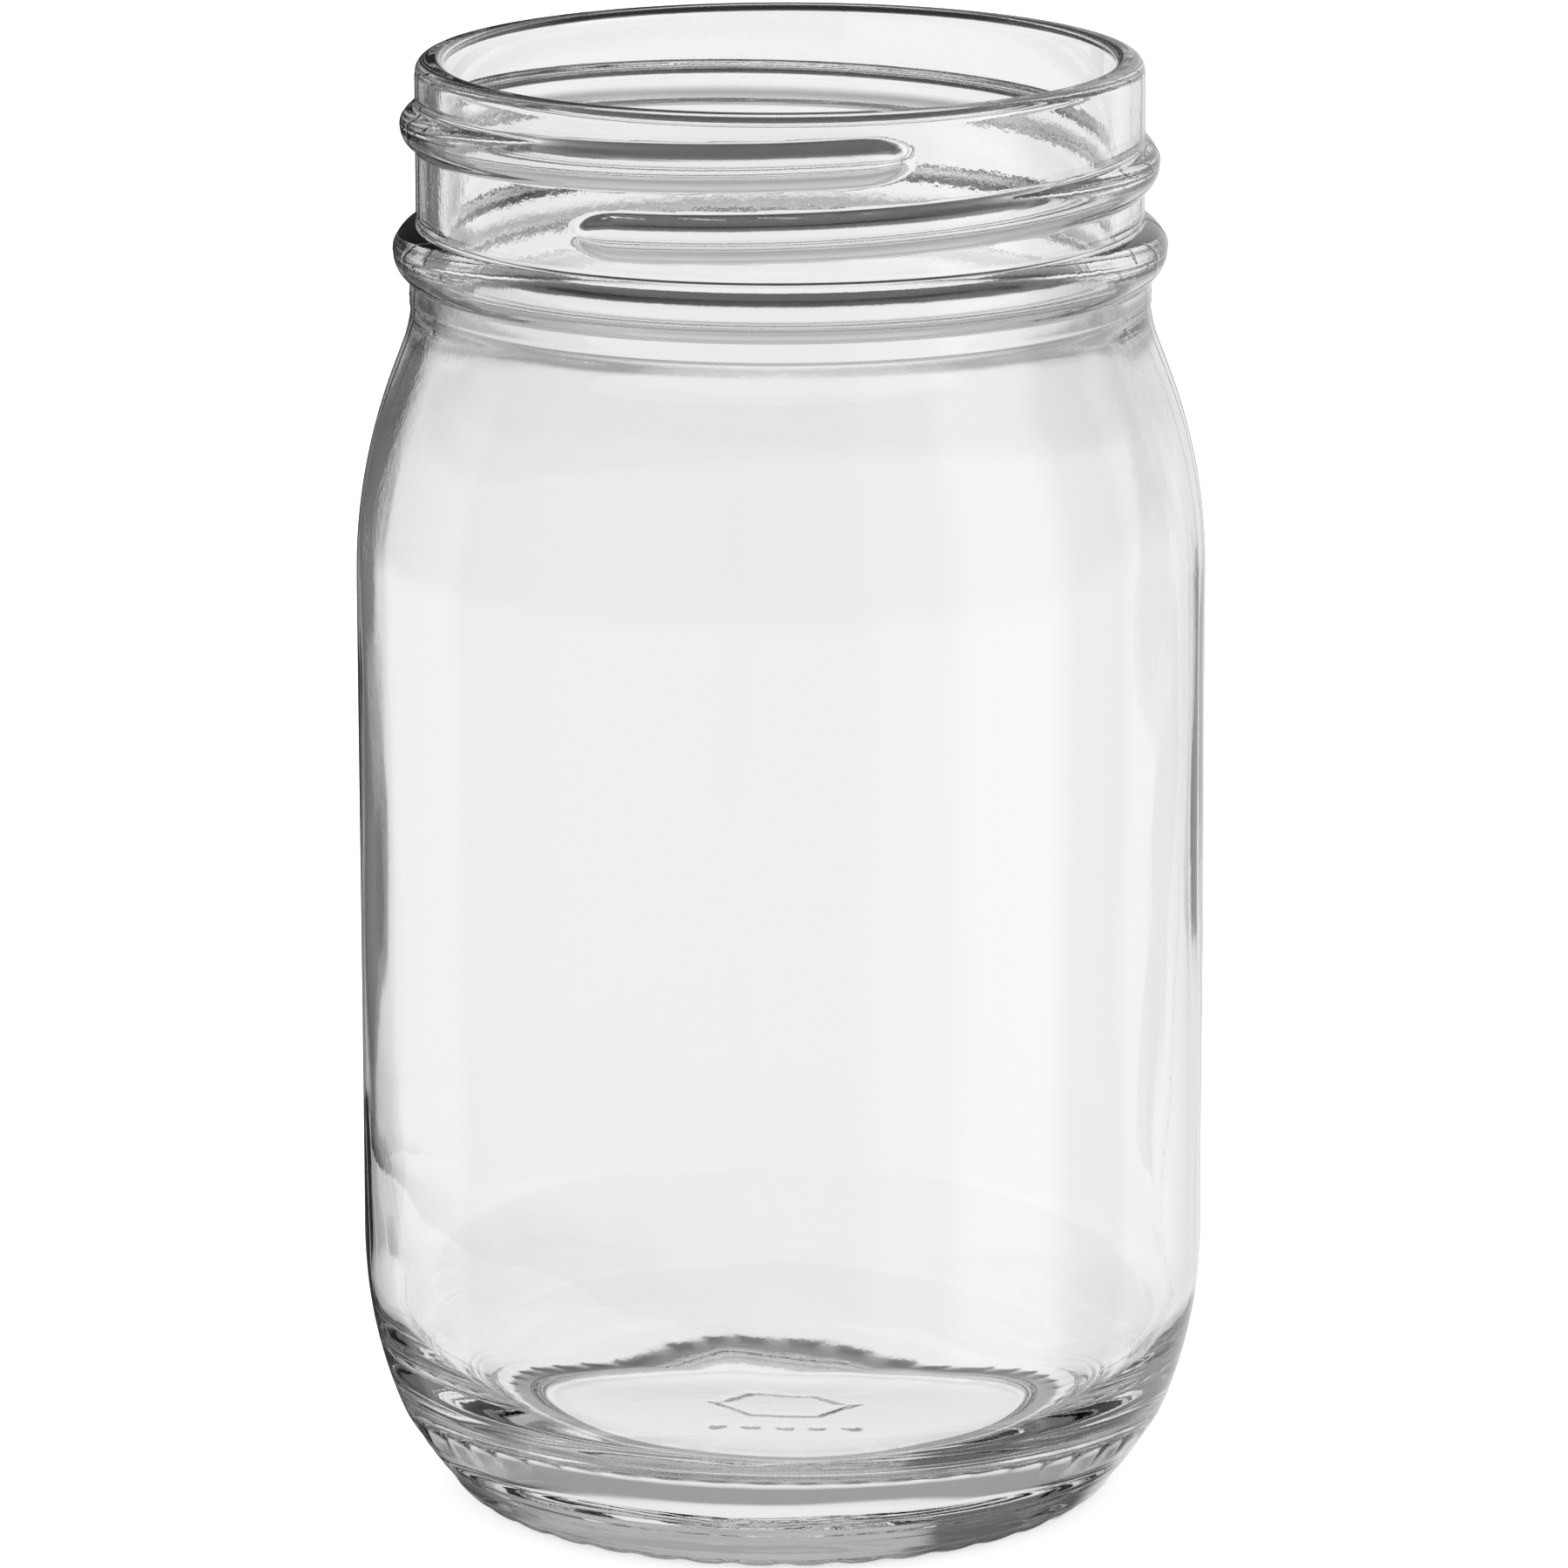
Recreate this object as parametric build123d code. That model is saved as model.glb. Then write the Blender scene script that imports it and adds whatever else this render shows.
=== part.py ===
from build123d import *

import os
from math import cos, radians, sin, tan

# Mason jar: a moulded glass food jar with a screw finish, about a US pint, in millimetres.
# It stands on its bearing ring at z = 0, with its axis on Z. One node is written, because the whole
# jar is a single piece of glass: thread, bead, shoulder, heel and base are all moulded in it.

# Overall sizes.
HEIGHT = 135.3
BODY_R = 39.4
NECK_R = 34.1  # under the bead
FINISH_R = 33.45  # plain wall that carries the thread, half of the finish's E size
BORE_R = 30.7  # inside the mouth

# Heel: two cones with rounded meetings, down to the corner of the bearing ring.
UPPER_HEEL_Z = 15.94
UPPER_HEEL_SLOPE = 22.0  # degrees from the vertical
UPPER_HEEL_FILLET = 41.5
LOWER_HEEL_Z = 7.47
LOWER_HEEL_SLOPE = 37.0
LOWER_HEEL_FILLET = 8.0
FOOT_FILLET = 2.6

# Base: a flat bearing ring round a shallow recess that rises towards its centre.
RING_INNER_R = 26.0
RECESS_R = 24.6
RECESS_EDGE_Z = 1.3
RECESS_CENTRE_Z = 1.6
RING_FILLET = 0.5

# Shoulder: one cone between body and neck, with a large and a small round.
SHOULDER_SLOPE = 21.0  # degrees from the vertical
SHOULDER_Z = 97.2
SHOULDER_FILLET = 55.0
NECK_FILLET = 12.0

# Transfer bead under the thread.
BEAD_Z = 117.6  # the wall changes from neck to finish size behind the bead
BEAD_ROUND = 2.6
BEAD_CENTRE_R = 33.02
BEAD_ROOT_FILLET = 0.6

# Lip.
LIP_OUTER_FILLET = 1.1
LIP_INNER_FILLET = 0.9

# Thread: one right-hand start of a little over a turn, four turns to the inch.
THREAD_PITCH = 6.35
THREAD_R = 34.85  # crest, half of the finish's T size
THREAD_ROUND = 2.1  # radius of the rounded ridge
THREAD_START = -123.4  # degrees round the axis from +X
THREAD_END = 290.2
THREAD_Z_AT_X = 126.0  # height of the ridge where it passes +X
THREAD_RUN_OUT = 8.0  # degrees over which each end sinks into the wall
THREAD_SINK = 2.0
THREAD_STEP = 4.0  # degrees between the points of the ridge's line

# Inside.
INNER_BODY_R = 37.1
FLOOR_CENTRE_Z = 6.0
FLOOR_EDGE_Z = 5.2
INNER_HEEL_FILLET = 16.0
INNER_SHOULDER_Z = 96.4
INNER_SHOULDER_FILLET = 50.0
INNER_NECK_FILLET = 8.0

# Stippling: short grooves moulded across the outer edge of the bearing ring.
STIPPLE_COUNT = 40
STIPPLE_ROUND = 2.4
STIPPLE_DEPTH = 0.3
STIPPLE_INNER_R = 28.0
STIPPLE_LENGTH = 4.0

# Plain mould mark on the underside: a hexagon and a row of cavity dots, raised from the recess.
MARK_HEX_R = 6.5
MARK_LINE = 0.9
MARK_Z = 1.2
MARK_TOP_Z = 3.0
MARK_DOTS = 5
MARK_DOT_R = 0.7
MARK_DOT_SPACING = 3.2
MARK_DOT_Y = -11.0


def cone_radius(radius, z_from, slope, z):
    """Radius at height z of a cone through (radius, z_from) that widens upwards by slope degrees."""
    return radius + (z - z_from) * tan(radians(slope))


def outer_face():
    """Half section of the jar with no cavity and no thread, on the XZ plane."""
    lower_heel_r = cone_radius(BODY_R, UPPER_HEEL_Z, UPPER_HEEL_SLOPE, LOWER_HEEL_Z)
    foot_r = cone_radius(lower_heel_r, LOWER_HEEL_Z, LOWER_HEEL_SLOPE, 0)
    neck_z = SHOULDER_Z + (BODY_R - NECK_R) / tan(radians(SHOULDER_SLOPE))
    corners = [
        ((RING_INNER_R, 0), RING_FILLET),
        ((foot_r, 0), FOOT_FILLET),
        ((lower_heel_r, LOWER_HEEL_Z), LOWER_HEEL_FILLET),
        ((BODY_R, UPPER_HEEL_Z), UPPER_HEEL_FILLET),
        ((BODY_R, SHOULDER_Z), SHOULDER_FILLET),
        ((NECK_R, neck_z), NECK_FILLET),
    ]
    wall = FilletPolyline(
        (RECESS_R, RECESS_EDGE_Z),
        *[point for point, _ in corners],
        (NECK_R, BEAD_Z),
        radius=[fillet_radius for _, fillet_radius in corners],
    )
    finish = FilletPolyline(
        (FINISH_R, BEAD_Z),
        (FINISH_R, HEIGHT),
        (0, HEIGHT),
        radius=[LIP_OUTER_FILLET],
    )
    recess_rise = RECESS_CENTRE_Z - RECESS_EDGE_Z
    recess = ThreePointArc(
        (0, RECESS_CENTRE_Z),
        (RECESS_R / 2, RECESS_CENTRE_Z - recess_rise / 4),
        (RECESS_R, RECESS_EDGE_Z),
    )
    outline = recess + wall + Line(wall @ 1, finish @ 0) + finish
    outline += Line((0, HEIGHT), (0, RECESS_CENTRE_Z))
    section = make_face(outline) + Pos(BEAD_CENTRE_R, BEAD_Z) * Circle(BEAD_ROUND)
    roots = [v for v in section.vertices() if is_bead_root(v)]
    return Plane.XZ * fillet(roots, BEAD_ROOT_FILLET)


def is_bead_root(vertex):
    """True for the two inside corners where the bead's round meets the wall above and below it."""
    near_bead = abs(vertex.Y - BEAD_Z) < BEAD_ROUND
    return near_bead and min(abs(vertex.X - NECK_R), abs(vertex.X - FINISH_R)) < 0.01


def cavity_face():
    """Half section of the hollow, running out past the top so that it cuts the mouth open."""
    neck_z = INNER_SHOULDER_Z + (INNER_BODY_R - BORE_R) / tan(radians(SHOULDER_SLOPE))
    above = HEIGHT + 5
    walls = FilletPolyline(
        (0, FLOOR_CENTRE_Z),
        (INNER_BODY_R, FLOOR_EDGE_Z),
        (INNER_BODY_R, INNER_SHOULDER_Z),
        (BORE_R, neck_z),
        (BORE_R, above),
        (0, above),
        radius=[INNER_HEEL_FILLET, INNER_SHOULDER_FILLET, INNER_NECK_FILLET, 1.0],
    )
    return Plane.XZ * make_face(walls + Line((0, above), (0, FLOOR_CENTRE_Z)))


def lip_cutter():
    """Ring that rounds the inner edge of the lip, made as the corner outside a quarter round."""
    rounding = LIP_INNER_FILLET
    corner = Pos(BORE_R + rounding / 2, HEIGHT - rounding / 2) * Rectangle(rounding, rounding)
    round_part = Pos(BORE_R + rounding, HEIGHT - rounding) * Circle(rounding)
    return revolve(Plane.XZ * (corner - round_part), Axis.Z)


def ridge_point(angle):
    """Point of the thread ridge's centre line at an angle round the axis, sinking at both ends."""
    from_end = min(angle - THREAD_START, THREAD_END - angle)
    share = max(0.0, 1 - from_end / THREAD_RUN_OUT)
    radius = THREAD_R - THREAD_ROUND - THREAD_SINK * share**2
    height = THREAD_Z_AT_X + THREAD_PITCH * angle / 360
    return (radius * cos(radians(angle)), radius * sin(radians(angle)), height)


def thread():
    """Rounded helical ridge, swept along its centre line."""
    steps = round((THREAD_END - THREAD_START) / THREAD_STEP)
    turn = THREAD_END - THREAD_START
    line = Spline([ridge_point(THREAD_START + turn * i / steps) for i in range(steps + 1)])
    section = Plane(origin=line @ 0, z_dir=line % 0) * Circle(THREAD_ROUND)
    return sweep(section, path=line)


def stippling():
    """Cutters for the grooves across the outer edge of the bearing ring."""
    groove = Cylinder(STIPPLE_ROUND, STIPPLE_LENGTH, align=(Align.CENTER, Align.CENTER, Align.MIN))
    lying = Pos(STIPPLE_INNER_R, 0, STIPPLE_DEPTH - STIPPLE_ROUND) * Rot(0, 90, 0) * groove
    return [Rot(0, 0, 360 * i / STIPPLE_COUNT) * lying for i in range(STIPPLE_COUNT)]


def mould_mark():
    """Raised hexagon outline and cavity dots on the underside."""
    hexagon = RegularPolygon(MARK_HEX_R, 6) - RegularPolygon(MARK_HEX_R - MARK_LINE, 6)
    first_x = -MARK_DOT_SPACING * (MARK_DOTS - 1) / 2
    dots = [
        Pos(first_x + MARK_DOT_SPACING * i, MARK_DOT_Y) * Circle(MARK_DOT_R)
        for i in range(MARK_DOTS)
    ]
    return [extrude(Pos(0, 0, MARK_Z) * s, MARK_TOP_Z - MARK_Z) for s in (hexagon, *dots)]


def glass_jar():
    """The whole jar: blank, thread and marks joined, then hollowed and grooved."""
    blank = revolve(outer_face(), Axis.Z) + thread()
    cavity = revolve(cavity_face(), Axis.Z)
    jar = blank - cavity - lip_cutter()
    jar -= stippling()
    return jar + mould_mark()


def brimful_capacity():
    """Volume of the hollow up to the top of the lip."""
    block = Box(4 * BODY_R, 4 * BODY_R, HEIGHT, align=(Align.CENTER, Align.CENTER, Align.MIN))
    return (revolve(cavity_face(), Axis.Z) & block).volume


os.makedirs("parts", exist_ok=True)
jar = glass_jar()
print("glass, cm3:", round(jar.volume / 1000, 1))
print("brimful capacity, ml:", round(brimful_capacity() / 1000, 1))
export_step(jar, "parts/glass_jar.step")
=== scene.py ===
# %% [markdown]
# # A pint mason jar in clear glass
#
# A mason jar is one piece of glass. Its threaded top, called the finish, is pressed in a neck ring,
# and the body below it is blown against a two-part mould and a bottom plate. Everything that makes
# it look like glass comes from its shape: two skins a few millimetres apart that are nearly, but
# not quite, parallel. So this lesson models both skins as one closed surface and lets light bend
# through it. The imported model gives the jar's size and place, and the lesson starts from that.

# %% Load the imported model
import math

import bpy
import numpy as np
from mathutils import Matrix, Vector


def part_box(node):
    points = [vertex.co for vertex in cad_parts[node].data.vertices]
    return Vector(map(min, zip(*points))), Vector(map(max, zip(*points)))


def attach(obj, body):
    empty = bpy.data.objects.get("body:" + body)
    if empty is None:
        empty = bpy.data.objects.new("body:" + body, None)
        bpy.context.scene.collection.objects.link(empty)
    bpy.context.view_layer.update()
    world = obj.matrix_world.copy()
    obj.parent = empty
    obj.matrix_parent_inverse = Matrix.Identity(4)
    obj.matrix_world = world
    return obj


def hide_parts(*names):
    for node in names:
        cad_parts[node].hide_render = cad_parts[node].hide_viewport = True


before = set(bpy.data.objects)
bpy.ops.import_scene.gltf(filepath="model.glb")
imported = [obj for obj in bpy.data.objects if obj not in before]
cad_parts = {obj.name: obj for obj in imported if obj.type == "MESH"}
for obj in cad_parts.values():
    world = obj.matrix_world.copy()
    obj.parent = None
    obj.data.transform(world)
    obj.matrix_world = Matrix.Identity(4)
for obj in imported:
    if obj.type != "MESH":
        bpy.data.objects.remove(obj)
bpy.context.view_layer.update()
MM = 0.001
jar_low, jar_high = (np.array(corner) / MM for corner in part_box("glass_jar"))
height = float(jar_high[2])
body_r = float(jar_high[0])
print(f"the jar is {2 * body_r:.1f} mm across and {height:.1f} mm tall")

# %% [markdown]
# ## The outline of the two skins
#
# On the real jar the outline is set by the moulds: a narrow bearing ring, a rounded heel, a
# straight body, a sloping shoulder, a short neck with a rounded bead, and the plain wall of the
# finish with a rounded lip. Spinning a hand-drawn curve would also give it, but a curve's handles
# don't say what radius they make. So the outline is written as corners, and each corner is rounded
# by an arc of a stated radius, the way the mould maker's drawing gives it.

# %% A line of corners, rounded by arcs
def rounded_line(corners, radii, step=0.05):
    """Points along straight runs joined by arcs. An arc of radius R at a corner that turns by angle
    T starts and ends R * tan(T / 2) from the corner, and its centre lies R to the inside of both
    runs. Runs and arcs are both sampled every step mm."""
    corners = np.asarray(corners, float)
    pieces = [corners[:1]]
    for before, corner, after, radius in zip(corners, corners[1:], corners[2:], radii):
        into = (corner - before) / np.linalg.norm(corner - before)
        out = (after - corner) / np.linalg.norm(after - corner)
        side = np.sign(into[0] * out[1] - into[1] * out[0])
        turn = np.arccos(np.clip(into @ out, -1, 1))
        start = corner - into * radius * np.tan(turn / 2)
        across = side * np.array([-into[1], into[0]])
        count = max(3, int(radius * turn / step))
        swept = np.linspace(0, turn, count)[:, None]
        pieces.append(start + radius * (np.sin(swept) * into + (1 - np.cos(swept)) * across))
    line = np.vstack([*pieces, corners[-1:]])
    along = np.append(0, np.cumsum(np.linalg.norm(np.diff(line, axis=0), axis=1)))
    along, kept = np.unique(along, return_index=True)
    even = np.linspace(0, along[-1], int(along[-1] / step))
    return np.column_stack([np.interp(even, along, line[kept, i]) for i in (0, 1)])


def cone(radius, z_from, slope, z):
    """Radius at height z on a cone that has the given radius at z_from and widens upwards by slope
    degrees from the vertical."""
    return radius + (z - z_from) * math.tan(math.radians(slope))


# %% The corners of the section, up the outside, over the lip and down the inside
NECK_R = 34.1
WALL_R = 33.45  # plain wall of the finish
BORE_R = 30.7
HOLLOW_R = 37.1
HEEL_TOP_Z, HEEL_TOP_SLOPE = 15.94, 22.0
HEEL_LOW_Z, HEEL_LOW_SLOPE = 7.47, 37.0
SHOULDER_Z, HOLLOW_SHOULDER_Z, SHOULDER_SLOPE = 97.2, 96.4, 21.0
RECESS_R, RECESS_Z, RECESS_RISE = 24.6, 1.3, 0.3
FLOOR_Z, FLOOR_EDGE_Z = 6.0, 5.2
BEAD_Z, BEAD_ROUND, BEAD_CENTRE_R = 117.6, 2.6, 33.02
NECK_LINE_Z = 113.3  # where the neck ring closes on the body mould

heel_r = cone(body_r, HEEL_TOP_Z, HEEL_TOP_SLOPE, HEEL_LOW_Z)
foot_r = cone(heel_r, HEEL_LOW_Z, HEEL_LOW_SLOPE, 0)
shoulder_tan = math.tan(math.radians(SHOULDER_SLOPE))
neck_z = SHOULDER_Z + (body_r - NECK_R) / shoulder_tan
hollow_neck_z = HOLLOW_SHOULDER_Z + (HOLLOW_R - BORE_R) / shoulder_tan
section = [  # radius, height, rounding
    (0, RECESS_Z + RECESS_RISE, 0),
    (RECESS_R, RECESS_Z, 2.0),
    (26.0, 0, 0.5),
    (foot_r, 0, 2.6),
    (heel_r, HEEL_LOW_Z, 8.0),
    (body_r, HEEL_TOP_Z, 41.5),
    (body_r, SHOULDER_Z, 55.0),
    (NECK_R, neck_z, 12.0),
    (NECK_R, BEAD_Z - 1.0, 0.5),
    (WALL_R, BEAD_Z + 1.0, 0.5),
    (WALL_R, height, 1.1),
    (BORE_R, height, 0.9),
    (BORE_R, hollow_neck_z, 8.0),
    (HOLLOW_R, HOLLOW_SHOULDER_Z, 50.0),
    (HOLLOW_R, FLOOR_EDGE_Z, 16.0),
    (0, FLOOR_Z, 0),
]
plain_line = rounded_line([corner[:2] for corner in section], [corner[2] for corner in section[1:-1]])
ONTO_LIP = 15  # points along the lip's flat top at which the outside is taken to end
lip_index = int(np.argmax(plain_line[:, 1] >= height - 1e-6)) + ONTO_LIP
print(f"section: {len(plain_line)} points, foot radius {foot_r:.2f} mm, neck from {neck_z:.1f} mm")

# %% [markdown]
# ## The bead under the thread
#
# The bead is the ring that carries the hot blank from one mould to the next. Its outline is most of
# a circle standing out of the neck, with a small fillet above and below. A corner with a radius
# can't give more than the tangent runs have room for, so the bead is melted into the wall instead:
# the outline takes the greater of wall and circle, rounded where the two change over.

# %% Melting one height into another
def melt(first, second, rounding):
    """The greater of two heights, with their meeting filled in: half of
    (first + second + sqrt((first - second)^2 + rounding^2)). That adds half the rounding where the
    two are equal, and next to nothing far from there."""
    return 0.5 * (first + second + np.sqrt((first - second) ** 2 + rounding**2))


def rounded_ridge(offset, round_r, centre_depth):
    """Height of a round bar of radius round_r whose centre lies centre_depth under the surface, at
    an offset from its line: sqrt(round_r^2 - offset^2) - centre_depth, and far below outside it."""
    inside = np.clip(round_r**2 - offset**2, 0, None)
    return np.where(inside > 0, np.sqrt(inside), -2 * round_r) - centre_depth


outside = np.arange(len(plain_line)) < lip_index
bead_height = rounded_ridge(plain_line[:, 1] - BEAD_Z, BEAD_ROUND, -BEAD_CENTRE_R)
near_bead = outside & (abs(plain_line[:, 1] - BEAD_Z) < BEAD_ROUND + 1.5) & (plain_line[:, 0] > 30)
section_line = plain_line.copy()
section_line[near_bead, 0] = melt(plain_line[near_bead, 0], bead_height[near_bead], 0.05)
print(f"bead crest radius {section_line[near_bead, 0].max():.2f} mm")

# %% [markdown]
# ## Rows and columns
#
# One grid covers the whole jar: rows run round it and columns run along the section. Equal spacing
# would waste faces on the straight body and starve the thread. So each zone has its own spacing,
# and the rows are put where the running sum of 1 / spacing passes whole steps. Two mould halves
# meet in a seam on each side, finer than a column, so the columns crowd together there.

# %% Rows along the section
ROWS, COLUMNS = 345, 288


def zone_spacing(radius, z, outer):
    """Wanted distance between rows, in millimetres, by zone."""
    zones = [
        (outer & (z < 2.5) & (radius < 13.5), 0.34),
        (outer & (z < 2.5) & (radius < 24), 1.3),
        (outer & (z < 5.0), 0.24),
        (outer & (z < 24), 0.9),
        (outer & (z < 88), 2.8),
        (outer & (z < 109), 1.4),
        (outer & (abs(z - NECK_LINE_Z) < 0.4), 0.12),
        (outer & (z < 114.6), 0.5),
        (outer & (z < 120.6), 0.3),
        (outer & (z < 134.2) | (z > height - 1.2), 0.2),
        (~outer & (z > 114), 2.2),
        (~outer & (z > 80), 1.6),
        (~outer & (z > 22), 3.2),
        (~outer & (radius > 22), 1.0),
    ]
    return np.select([where for where, _ in zones], [spacing for _, spacing in zones], 1.6)


def rows_along(line, outer, count):
    """Points of the line at which the running sum of length / spacing passes equal steps."""
    length = np.append(0, np.linalg.norm(np.diff(line, axis=0), axis=1))
    effort = np.cumsum(length / zone_spacing(line[:, 0], line[:, 1], outer))
    wanted = np.linspace(0, effort[-1], count)
    position = np.interp(wanted, effort, np.arange(len(line)))
    rows = np.column_stack([np.interp(position, np.arange(len(line)), line[:, i]) for i in (0, 1)])
    return rows, position < lip_index, effort[-1]


rows, row_outer, effort = rows_along(section_line, outside, ROWS)
print(f"{ROWS} rows where the spacings ask for {effort:.0f}")

# %% Columns round the jar
SEAMS = (0.0, 180.0)  # degrees from +X
SEAM_STEPS = np.array([-0.9, -0.6, -0.38, -0.2, 0.2, 0.38, 0.6, 0.9])

even_count = COLUMNS - len(SEAMS) * len(SEAM_STEPS)
even_columns = np.arange(even_count) * 360 / even_count
columns = np.sort(np.concatenate([even_columns, *[(seam + SEAM_STEPS) % 360 for seam in SEAMS]]))
angle = columns[None, :]
turn = np.radians(angle)
r_row, z_row = rows[:, :1], rows[:, 1:]
on_outside = row_outer[:, None]
print(f"{len(columns)} columns, {2 * (ROWS - 2) * len(columns)} triangles")

# %% [markdown]
# ## The thread
#
# The finish has one right-hand thread of a little over a turn. It is a round bar half sunk in the
# wall, and each end dives into the wall like a blunt nose. A bar swept along a helix and joined to
# the jar would leave a hard seam, and glass has none. So the thread is a height added to the wall:
# each point of the wall asks how far above or below the helix it is, for every turn that passes it.

# %% Height of the thread over the wall
PITCH = 6.35
THREAD_START, THREAD_END = -122.6, 289.4  # degrees from +X
THREAD_Z = 126.0  # height of the helix where it passes +X
THREAD_ROUND, THREAD_OUT = 2.1, 1.4
NOSE = 4.2  # length of each rounded end, in millimetres
SEAM_DIP, SEAM_DIP_WIDTH = 0.45, 26.0  # the helix hangs a little where the neck ring's halves meet


def thread_height(angle, z):
    """Height of the thread on the wall. Across the helix the bar is a rounded ridge. In the nose
    its offset is the hypotenuse of the distance across and of the share of the nose already
    passed, times the bar's half width, so that it ends like half an egg."""
    height_here = np.full(np.broadcast(angle, z).shape, -9.0)
    half_width = math.sqrt(THREAD_ROUND**2 - (THREAD_ROUND - THREAD_OUT) ** 2)
    for lap in (-360.0, 0.0):
        along = angle + lap
        dip = SEAM_DIP * np.exp(-((along / SEAM_DIP_WIDTH) ** 2))
        middle = THREAD_Z + PITCH * along / 360 - dip
        to_end = np.minimum(along - THREAD_START, THREAD_END - along) * math.radians(1) * WALL_R
        passed = np.clip(1 - to_end / NOSE, 0, None) * half_width
        offset = np.hypot(z - middle, passed)
        bar = rounded_ridge(offset, THREAD_ROUND, THREAD_ROUND - THREAD_OUT)
        height_here = np.maximum(height_here, bar)
    return height_here


on_wall = on_outside & (z_row > BEAD_Z + 2) & (z_row < height - 0.6)
thread = melt(np.zeros_like(z_row), thread_height(angle, z_row), 0.3)
thread = np.where(on_wall, np.where(thread > 0.005, thread, 0), 0)
print(f"thread stands {thread.max():.2f} mm proud of the wall")

# %% [markdown]
# ## Marks that the mould leaves
#
# Every joint of the mould shows: a fine line up each side, one round the neck under the bead where
# the neck ring closes, and lines round the foot from the bottom plate. The bearing ring is
# stippled, which keeps the hot glass off a cold conveyor. The underside carries a plain hexagon and
# a row of cavity dots. All of them are small heights added along the skin's own normal.

# %% Fine lines and stipples
def bump_line(distance, width, proud):
    """A soft line: proud * exp(-(distance / width)^2)."""
    return proud * np.exp(-((distance / width) ** 2))


from_seam = np.min([abs((angle - seam + 180) % 360 - 180) for seam in SEAMS], axis=0)
seam_lines = bump_line(np.radians(from_seam) * r_row, 0.22, 0.07)
seam_lines = np.where(on_outside & (z_row > 3.8) & (z_row < height - 1.5), seam_lines, 0)

foot_lines = sum(bump_line(z_row - z, 0.16, proud) for z, proud in ((4.3, 0.07), (3.4, 0.05)))
foot_lines = foot_lines + bump_line(z_row - 1.25, 0.2, 0.08)
foot_lines = np.where(on_outside & (r_row > 29), foot_lines, 0)
neck_line = np.where(on_outside, bump_line(z_row - NECK_LINE_Z, 0.14, 0.07), 0)

STIPPLES, STIPPLE_DEPTH = 40, 0.25
wave = 0.5 + 0.5 * np.cos(np.radians(angle) * STIPPLES)
stipple_band = np.exp(-(((r_row - 29.4) / 1.3) ** 2)) * (z_row < 2)
stipples = np.where(on_outside & (r_row > 26), -STIPPLE_DEPTH * wave**2 * stipple_band, 0)

# %% The mark on the underside
MARK_R, MARK_LINE, MARK_PROUD = 5.3, 0.55, 0.32
DOT_Y, DOT_SPACING, DOT_R, DOTS = -11.0, 3.2, 0.75, 5

x_flat, y_flat = r_row * np.cos(turn), r_row * np.sin(turn)
sides = [abs(x_flat * math.sin(a) + y_flat * math.cos(a)) for a in np.radians((0, 60, 120))]
hexagon = bump_line(np.max(sides, axis=0) - MARK_R, MARK_LINE, MARK_PROUD)
dot_x = (np.arange(DOTS) - (DOTS - 1) / 2) * DOT_SPACING
dots = sum(bump_line(np.hypot(x_flat - x, y_flat - DOT_Y), DOT_R, MARK_PROUD) for x in dot_x)
mark = np.where(on_outside & (r_row < 20) & (z_row < 3), hexagon + dots, 0)
print(f"mark stands {mark.max():.2f} mm proud of the recess")

# %% [markdown]
# ## The wave in the blown skin
#
# The outside copies the mould, but the inside is shaped by air alone, so the wall is never quite
# even. Streaks of thick and thin run up the body, and the skin rolls a little where it was pushed
# into the shoulder and heel. This is what makes straight things look wavy through a jar. A noise
# texture in the material could tilt the light, but would leave the wall's thickness even. So the
# inside is moved: a sum of waves that each close on themselves round the jar, from a fixed seed. The
# wall is also thinner on the left, and the hollow stands a little to the right in the heel, because
# the blank never hangs quite straight when the air goes in.

# %% A wave that closes round the jar
def closed_wave(angle, z, rounds, lengths, seed):
    """Sum of cos(k * angle + 2 pi z / L + phase) over whole numbers of rounds k and lengths L, each
    weighed by 1 / sqrt(k), scaled to about -1 to 1."""
    chance = np.random.default_rng(seed)
    total = 0.0
    for k in rounds:
        length = chance.choice(lengths) * chance.choice((-1, 1))
        phase = chance.uniform(0, 2 * np.pi)
        total = total + np.cos(k * np.radians(angle) + 2 * np.pi * z / length + phase) / math.sqrt(k)
    return total / sum(1 / k for k in rounds) ** 0.5


# %% Waves, a thin side and a leaning hollow
LEAN = 0.3  # how far the hollow stands towards +X in the heel, in millimetres
THIN_SIDE = 0.65  # how much thinner the wall is on the -X side
OUTER_GAP = 0.11  # the outer skin lies this far inside the mould's size, and its sags stay within

on_inside = ~on_outside & (z_row < height - 2)
rolls = closed_wave(angle, z_row, range(2, 9), (60, 90, 140), 3)
streaks = closed_wave(angle, z_row, range(9, 26), (45, 80, 160), 11)
ripples = closed_wave(angle, z_row, range(24, 48), (14, 20, 30), 19)
sags = closed_wave(angle, z_row, range(5, 19), (36, 52, 80), 29)
in_body = np.clip((115 - z_row) / 20, 0, 1) * np.clip((z_row - 5) / 25, 0.15, 1)
in_heel = np.clip((26 - z_row) / 12, 0, 1) * np.clip((z_row - 4) / 4, 0, 1)
in_side = np.clip((z_row - 22) / 14, 0, 1) * np.clip((104 - z_row) / 14, 0, 1)
lean = -LEAN * np.cos(turn) * in_heel
thin_side = -THIN_SIDE * np.sin(turn / 2) ** 4 * in_side
waviness = (0.05 * rolls + 0.035 * streaks + 0.006 * ripples) * in_body
inner_wave = np.where(on_inside, lean + thin_side + waviness, 0)
floor_wave = np.where(on_inside & (r_row < 30), 0.05 * rolls * (r_row / 30) ** 2, 0)
outer_wave = np.where(on_outside & (z_row > 6) & (z_row < 112), 0.03 * sags - OUTER_GAP, 0)
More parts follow.
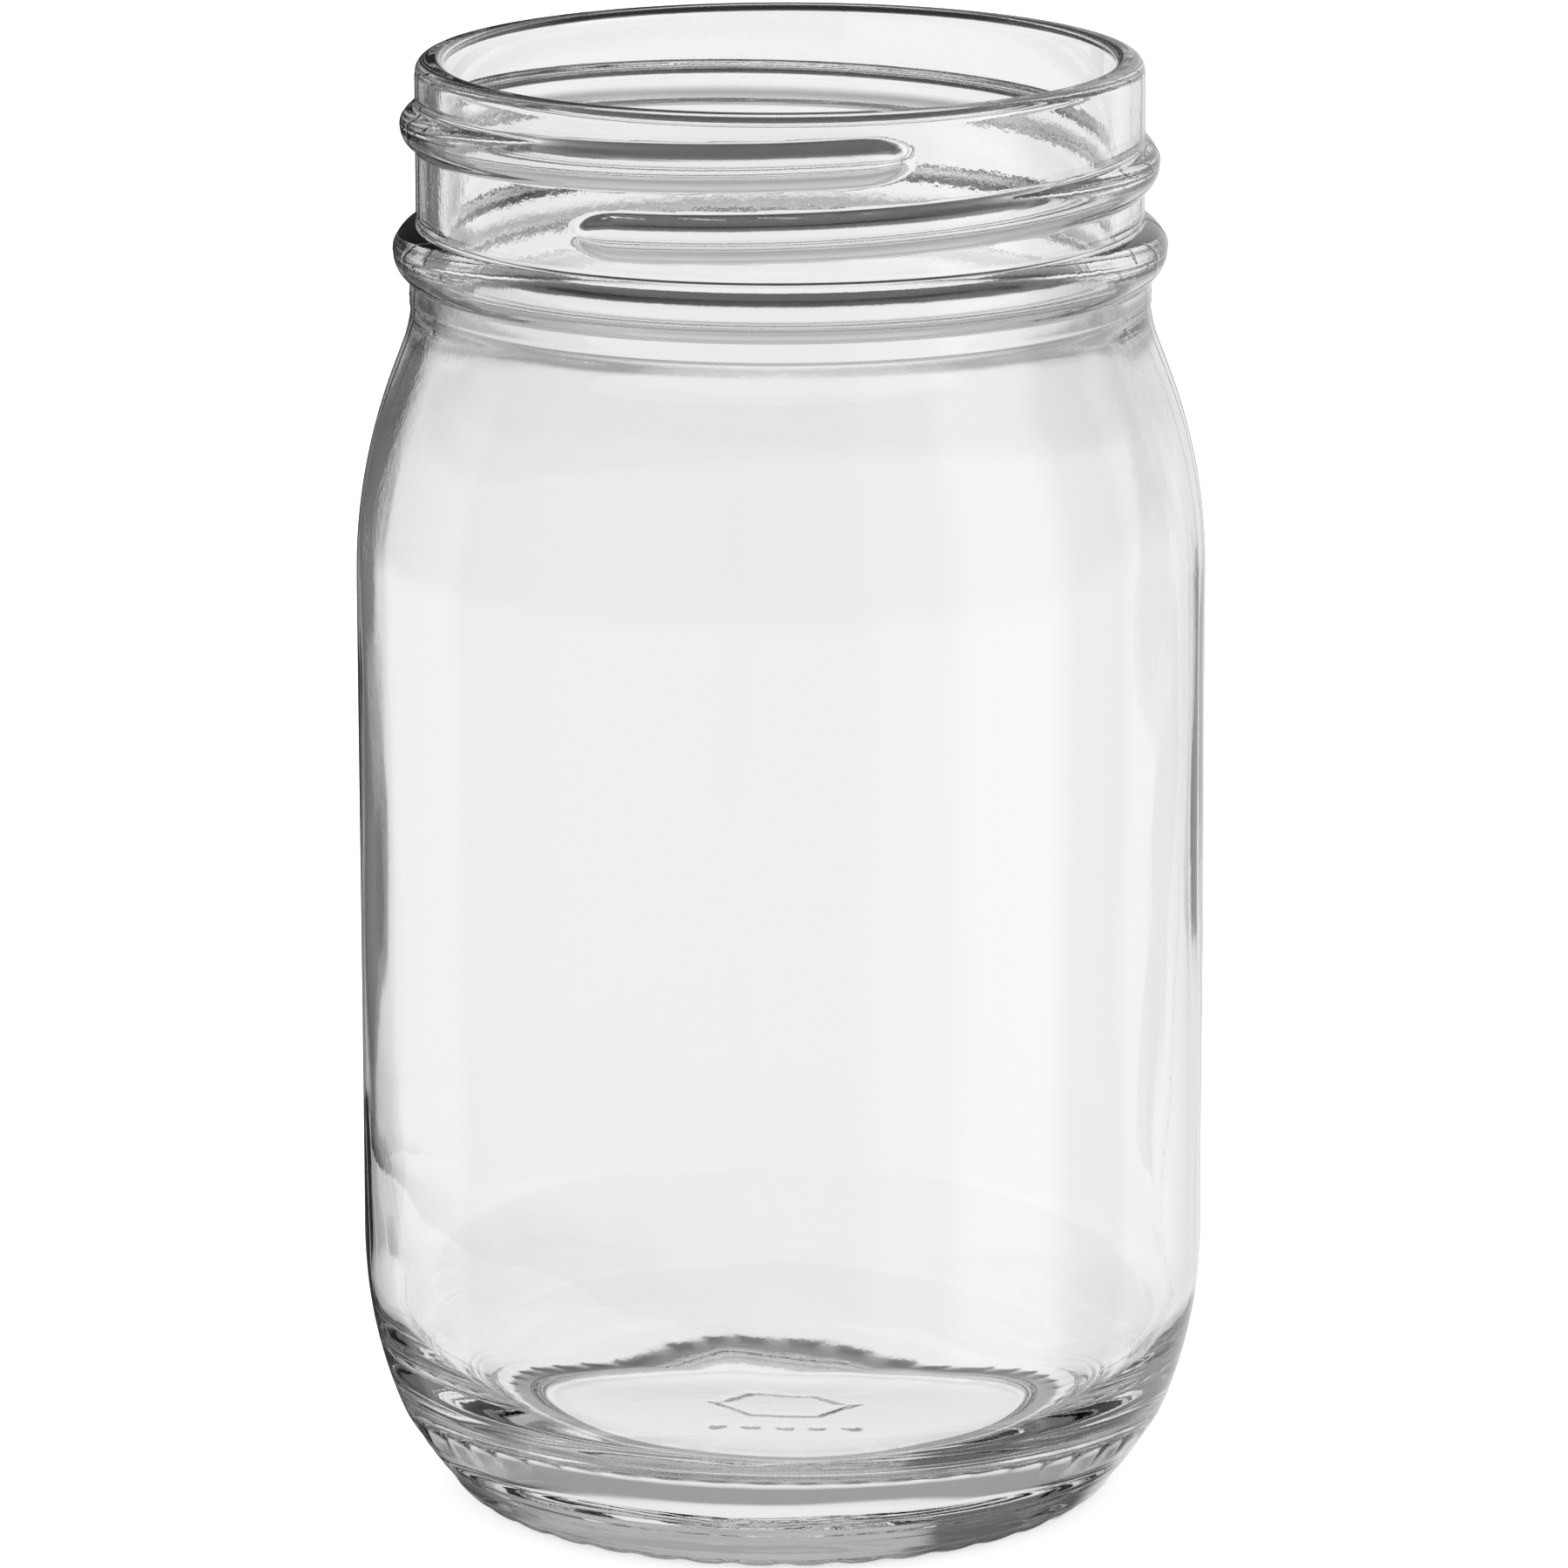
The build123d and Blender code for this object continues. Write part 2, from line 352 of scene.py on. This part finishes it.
print(f"inner skin moves {inner_wave.min():.2f} to {inner_wave.max():.2f} mm")

# %% [markdown]
# ## One closed surface
#
# The heights are added along the section's normal, the section is turned round the axis, and each
# pole is closed with a fan. Faces run outside-out, because glass is told from air by which side of
# a face a ray meets.

# %% Add the heights and turn the section round the axis
tangent = np.gradient(rows, axis=0)
tangent /= np.linalg.norm(tangent, axis=1, keepdims=True)
normal_r, normal_z = tangent[:, 1:], -tangent[:, :1]
raised = seam_lines + foot_lines + neck_line + stipples + mark + inner_wave + floor_wave + outer_wave
radius_grid = r_row + thread + raised * normal_r
z_grid = z_row + raised * normal_z
radius_grid, z_grid = np.broadcast_arrays(radius_grid, z_grid)
grid = np.stack([radius_grid * np.cos(turn), radius_grid * np.sin(turn), z_grid], axis=-1)


def closed_skin(name, grid):
    """A mesh from a grid of rows by columns that closes round, with a fan to one point at each
    end. A face's corners run along the columns first, so that it points away from the glass."""
    rings = grid[1:-1]
    ring_count, column_count = rings.shape[:2]
    start, end = ring_count * column_count, ring_count * column_count + 1
    index = np.arange(start).reshape(ring_count, column_count)
    onward = np.roll(index, -1, axis=1)
    quads = np.stack([index[:-1], onward[:-1], onward[1:], index[1:]], axis=-1).reshape(-1, 4)
    first_fan = np.stack([np.full(column_count, start), onward[0], index[0]], axis=-1)
    last_fan = np.stack([index[-1], onward[-1], np.full(column_count, end)], axis=-1)
    points = np.vstack([rings.reshape(-1, 3), grid[0, 0], grid[-1, 0]]) * MM
    mesh = bpy.data.meshes.new(name)
    corners = np.concatenate([quads.ravel(), first_fan.ravel(), last_fan.ravel()])
    sizes = np.concatenate([np.full(len(quads), 4), np.full(2 * column_count, 3)])
    mesh.vertices.add(len(points))
    mesh.loops.add(len(corners))
    mesh.polygons.add(len(sizes))
    mesh.vertices.foreach_set("co", points.ravel())
    mesh.loops.foreach_set("vertex_index", corners)
    mesh.polygons.foreach_set("loop_start", np.cumsum(sizes) - sizes)
    mesh.polygons.foreach_set("loop_total", sizes)
    mesh.polygons.foreach_set("use_smooth", np.ones(len(sizes), bool))
    mesh.update(calc_edges=True)
    mesh.validate()
    piece = bpy.data.objects.new(name, mesh)
    bpy.context.scene.collection.objects.link(piece)
    return piece


jar = closed_skin("moulded_glass", grid)
outer_rows = np.broadcast_to(on_outside, z_grid.shape)
outer_points = np.concatenate([outer_rows[1:-1].ravel(), [True, False]])
outer_layer = jar.data.attributes.new("outer_skin", "FLOAT", "POINT")
outer_layer.data.foreach_set("value", outer_points.astype(np.float32))
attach(jar, "root")
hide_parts("glass_jar")
jar.visible_shadow = False
print(f"{jar.name}: {len(jar.data.vertices)} points, {len(jar.data.polygons)} faces")

# %% [markdown]
# ## Clear flint glass
#
# The glass is colourless, with the faintest grey-green where light runs a long way in it, such as
# up the wall to the lip. That belongs to the volume and not to the surface, so that colour is an
# absorption. The skin is fire-polished, but it is not flat: the neck and shoulders carry a fine
# hammered ripple where the hot blank touched cooler iron, and the bearing ring is scuffed by use.
# On the outer skin the base colour is also painted grey where the glass is seen edge-on. This is
# painted shade, standing in for the dark edges that the dark parts of the room give clear glass.

# %% Nodes of the glass
def node(tree, kind, at, **values):
    """Adds a node, with its named settings and inputs given their values."""
    made = tree.nodes.new(kind)
    made.location = at
    for name, value in values.items():
        if name in made.inputs:
            made.inputs[name].default_value = value
        else:
            setattr(made, name, value)
    return made


def clear_glass():
    """Principled glass with a ripple in its skin by height, scuffs on the ring, a grey-green absorption in
    depth, and painted shade: the outer skin's base colour greyed where it is seen edge-on.
    """
    material = bpy.data.materials.new("clear_flint_glass")
    material.use_nodes = True
    tree = material.node_tree
    tree.nodes.clear()
    link = tree.links.new
    place = node(tree, "ShaderNodeTexCoord", (-1300, 0))
    glass = node(tree, "ShaderNodeBsdfPrincipled", (100, 0), IOR=1.52)
    glass.inputs["Transmission Weight"].default_value = 1.0
    depth = node(tree, "ShaderNodeVolumeAbsorption", (100, -420), Density=2.5)
    depth.inputs["Color"].default_value = (0.74, 0.80, 0.80, 1)
    out = node(tree, "ShaderNodeOutputMaterial", (420, 0))
    link(glass.outputs["BSDF"], out.inputs["Surface"])
    link(depth.outputs["Volume"], out.inputs["Volume"])

    hammered = node(tree, "ShaderNodeTexNoise", (-900, -120), Scale=900.0, Detail=3.0, Roughness=0.6)
    link(place.outputs["Object"], hammered.inputs["Vector"])
    height_of = node(tree, "ShaderNodeSeparateXYZ", (-1100, -420))
    link(place.outputs["Object"], height_of.inputs["Vector"])
    upper = node(tree, "ShaderNodeMapRange", (-900, -420), interpolation_type="SMOOTHSTEP")
    upper.inputs["From Min"].default_value = 70 * MM
    upper.inputs["From Max"].default_value = 116 * MM
    upper.inputs["To Min"].default_value = 0.03
    upper.inputs["To Max"].default_value = 0.16
    link(height_of.outputs["Z"], upper.inputs["Value"])
    ripple = node(tree, "ShaderNodeBump", (-300, -260), Distance=0.00006)
    link(hammered.outputs["Fac"], ripple.inputs["Height"])
    link(upper.outputs["Result"], ripple.inputs["Strength"])
    link(ripple.outputs["Normal"], glass.inputs["Normal"])

    # Painted shade: on the outer skin the base colour turns grey as the glass is seen edge-on (facing 0.62
    # to 0.76). It stands in for the dark edges that a dark room gives clear glass.
    edge = node(tree, "ShaderNodeLayerWeight", (-900, 260), Blend=0.5)
    outer = node(tree, "ShaderNodeAttribute", (-900, 420), attribute_name="outer_skin")
    edge_shade_mask = node(tree, "ShaderNodeMath", (-700, 300), operation="MULTIPLY")
    link(edge.outputs["Facing"], edge_shade_mask.inputs[0])
    link(outer.outputs["Fac"], edge_shade_mask.inputs[1])
    painted_edge_shade = node(tree, "ShaderNodeValToRGB", (-500, 300))
    painted_edge_shade.color_ramp.elements[0].position = 0.62
    painted_edge_shade.color_ramp.elements[0].color = (1, 1, 1, 1)
    painted_edge_shade.color_ramp.elements[1].position = 0.76
    painted_edge_shade.color_ramp.elements[1].color = (0.66, 0.665, 0.67, 1)
    link(edge_shade_mask.outputs["Value"], painted_edge_shade.inputs["Fac"])
    link(painted_edge_shade.outputs["Color"], glass.inputs["Base Color"])

    scuff = node(tree, "ShaderNodeMapRange", (-900, -700), interpolation_type="SMOOTHSTEP")
    scuff.inputs["From Min"].default_value = 0.1 * MM
    scuff.inputs["From Max"].default_value = 0.6 * MM
    scuff.inputs["To Min"].default_value = 0.22
    scuff.inputs["To Max"].default_value = 0.0
    link(height_of.outputs["Z"], scuff.inputs["Value"])
    link(scuff.outputs["Result"], glass.inputs["Roughness"])
    return material


jar.data.materials.append(clear_glass())
print(f"glass: {len(jar.data.materials[0].node_tree.nodes)} nodes")

# %% [markdown]
# ## The camera
#
# A long lens from about ninety centimetres, looking a little down into the mouth.

# %% Place the camera
DISTANCE, LOOK_DOWN, AIM_Z = 898.0, 13.38, 66.8
LENS, SENSOR = 221.2, 36.0

camera = bpy.data.objects.new("camera", bpy.data.cameras.new("camera"))
bpy.context.scene.collection.objects.link(camera)
camera.data.lens, camera.data.sensor_width = LENS, SENSOR
camera.data.shift_x = 0.0015
camera.data.clip_start, camera.data.clip_end = 0.01, 20
down = math.radians(LOOK_DOWN)
back = Vector((0, -math.cos(down), math.sin(down)))
camera.location = Vector((0, 0, AIM_Z * MM)) + back * DISTANCE * MM
camera.rotation_mode = "QUATERNION"
ROLL = math.radians(-0.137)
camera.rotation_quaternion = (-back).to_track_quat("-Z", "Y") @ Matrix.Rotation(ROLL, 3, "Z").to_quaternion()
bpy.context.scene.camera = camera

# %% [markdown]
# ## The studio
#
# Clear glass has no colour to light, so it is drawn by what stands round it. A lit paper lies under
# the jar and a white sweep stands all round it. Between and beyond them the room is dark, and that
# shows wherever a steep bit of glass bends the view so far: along the thread, the bead, the lip and
# the heel. Lamps and cards would have to be many to hold from every side. So the surroundings are a
# tent, a large sphere whose brightness is a formula of direction. One tent is seen through the
# glass and another only in its polish, which keeps a highlight apart from the backdrop.

# %% Floor and room
scene = bpy.context.scene
scene.view_settings.view_transform = "Standard"
scene.cycles.max_bounces = 24
scene.cycles.transmission_bounces = 24
scene.cycles.glossy_bounces = 12


def glowing(name):
    """A white light-giving material whose strength is the mesh's own 'glow'."""
    material = bpy.data.materials.new(name)
    material.use_nodes = True
    tree = material.node_tree
    tree.nodes.clear()
    light = node(tree, "ShaderNodeEmission", (0, 0))
    glow = node(tree, "ShaderNodeAttribute", (-200, 0), attribute_name="glow")
    tree.links.new(glow.outputs["Fac"], light.inputs["Strength"])
    out = node(tree, "ShaderNodeOutputMaterial", (200, 0))
    tree.links.new(light.outputs["Emission"], out.inputs["Surface"])
    material.cycles.emission_sampling = "NONE"
    return material


def unseen(piece, through, mirrored):
    """Stage piece that only rays through glass, or only mirrored rays, can meet."""
    piece.visible_camera = False
    piece.visible_diffuse = False
    piece.visible_shadow = False
    piece.visible_transmission = through
    piece.visible_glossy = mirrored


def flat_disc(name, radius, z, corners=96):
    """A round sheet: one face with its corners on a circle, in millimetres."""
    around = np.linspace(0, 2 * np.pi, corners, endpoint=False)
    points = np.column_stack([radius * np.cos(around), radius * np.sin(around), np.full(corners, z)])
    mesh = bpy.data.meshes.new(name)
    mesh.from_pydata((points * MM).tolist(), [], [tuple(range(corners))])
    sheet = bpy.data.objects.new(name, mesh)
    scene.collection.objects.link(sheet)
    return sheet


floor = flat_disc("floor", 3000.0, -0.02)
floor.visible_transmission = False
floor.visible_glossy = False
paper = bpy.data.materials.new("paper")
paper.use_nodes = True
paper_skin = paper.node_tree.nodes["Principled BSDF"]
paper_skin.inputs["Base Color"].default_value = (0.95, 0.95, 0.95, 1)
paper_skin.inputs["Roughness"].default_value = 1.0
paper_skin.inputs["Emission Color"].default_value = (1, 1, 1, 1)
paper_skin.inputs["Emission Strength"].default_value = 0.6
floor.data.materials.append(paper)

# %% White paper under the jar
PAPER_R, PAPER_GLOW = 104.0, 0.92


def soft_step(value, start, end):
    """0 before start, 1 after end, and 3 t^2 - 2 t^3 between, t being the share of the way."""
    share = np.clip((value - start) / (end - start), 0, 1)
    return share**2 * (3 - 2 * share)


def window(value, low, high, soft):
    """1 from low to high, falling smoothly to 0 over soft on each side."""
    return soft_step(value, low - soft, low) * (1 - soft_step(value, high, high + soft))


def give_glow(piece, values):
    """Stores one brightness per point, which the light-giving material reads."""
    layer = piece.data.attributes.new("glow", "FLOAT", "POINT")
    layer.data.foreach_set("value", np.asarray(values, np.float32).ravel())


def lit_paper():
    """The round paper as a polar grid about the jar. It is bright but for a ring where the jar's
    foot touches it and no light gets in."""
    a = np.radians(np.arange(0, 360, 2))
    r = np.append(np.linspace(0.5, 44, 88), np.linspace(44, PAPER_R, 20)[1:])[:, None] + 0 * a
    # Painted contact shadow: the glow is cut by 0.6 in a ring under the bearing ring, where the foot meets
    # the paper.
    painted_contact_shadow = 0.6 * window(r, 25.6, 29.0, 0.8)
    points = np.stack([r * np.sin(a), r * np.cos(a), 0 * r - 0.05], axis=-1).reshape(-1, 3)
    index = np.arange(r.size).reshape(r.shape)
    onward = np.roll(index, -1, axis=1)
    quads = np.stack([index[:-1], index[1:], onward[1:], onward[:-1]], axis=-1).reshape(-1, 4)
    faces = [index[0].tolist(), *quads.tolist()]
    mesh = bpy.data.meshes.new("table_paper")
    mesh.from_pydata((points * MM).tolist(), [], faces)
    sheet = bpy.data.objects.new("table_paper", mesh)
    scene.collection.objects.link(sheet)
    give_glow(sheet, PAPER_GLOW * (1 - painted_contact_shadow))
    sheet.data.materials.append(glowing("paper_glow"))
    unseen(sheet, through=True, mirrored=False)


lit_paper()
room = bpy.data.worlds.new("room")
scene.world = room
room.use_nodes = True
room.node_tree.nodes["Background"].inputs["Color"].default_value = (1, 1, 1, 1)

# %% Two tents
TENT_R = 2500.0


def tent(name, glow, through, mirrored):
    """A sphere round the jar whose brightness is glow(azimuth, elevation), both in degrees. Azimuth
    is 0 behind the jar, as the camera sees it, and grows towards +X."""
    azimuth = np.linspace(-180, 180, 240, endpoint=False)[None, :]
    elevation = np.linspace(-90, 90, 181)[:, None]
    a, e = np.radians(azimuth), np.radians(elevation)
    flat = np.cos(e) * TENT_R
    sphere = np.stack([flat * np.sin(a), flat * np.cos(a), np.sin(e) * TENT_R + 0 * a], axis=-1)
    piece = closed_skin(name, sphere + np.array([0, 0, height / 2]))
    values = np.broadcast_to(glow(azimuth, elevation), sphere.shape[:2])
    values = np.concatenate([values[1:-1].ravel(), values[0, :1], values[-1, :1]])
    give_glow(piece, values)
    piece.data.materials.append(glowing(name + "_glow"))
    unseen(piece, through, mirrored)
    return piece


def backdrop(azimuth, elevation):
    """White all round from the table's edge to the horizon but for one soft grey strip to the left.
    It fades above the horizon, sooner to the sides, with a grey band half-way, and is nearly dark
    below the table's edge."""
    strip = 0.78 * window(azimuth, -35, -20, 3)
    beside = 1 - window(azimuth, -30, 36, 12)
    fade = np.interp(elevation, (-3, 1, 5, 9, 13, 18, 26, 45), (1, 0.78, 0.56, 0.4, 0.42, 0.55, 0.6, 0.6))
    bright = soft_step(elevation, -21.5, -19) * fade * (1 - 0.9 * beside * soft_step(elevation, -8, -1))
    below = 0.08 * soft_step(elevation, -29, -21)
    fill = 0.04 * beside * soft_step(-elevation, 20, 28)
    return 0.025 + fill + (0.88 * bright + below * (1 - bright)) * (1 - strip)


def front_lamps(azimuth, elevation):
    """A tall softbox at the front right with a weaker one beside it, and pale side walls."""
    tall = window(elevation, -28, 42, 8)
    lamps = 1.7 * window(azimuth, 106, 124, 14) + 0.6 * window(azimuth, 136, 150, 14)
    sides = 0.8 * window(azimuth, 6, 70, 8) + 0.6 * window(azimuth, -80, -52, 8)
    return 0.05 + tall * (lamps + sides)


tent("backdrop_tent", backdrop, through=True, mirrored=False)
tent("lamp_tent", front_lamps, through=False, mirrored=True)
print(f"tents of radius {TENT_R * MM:.1f} m")
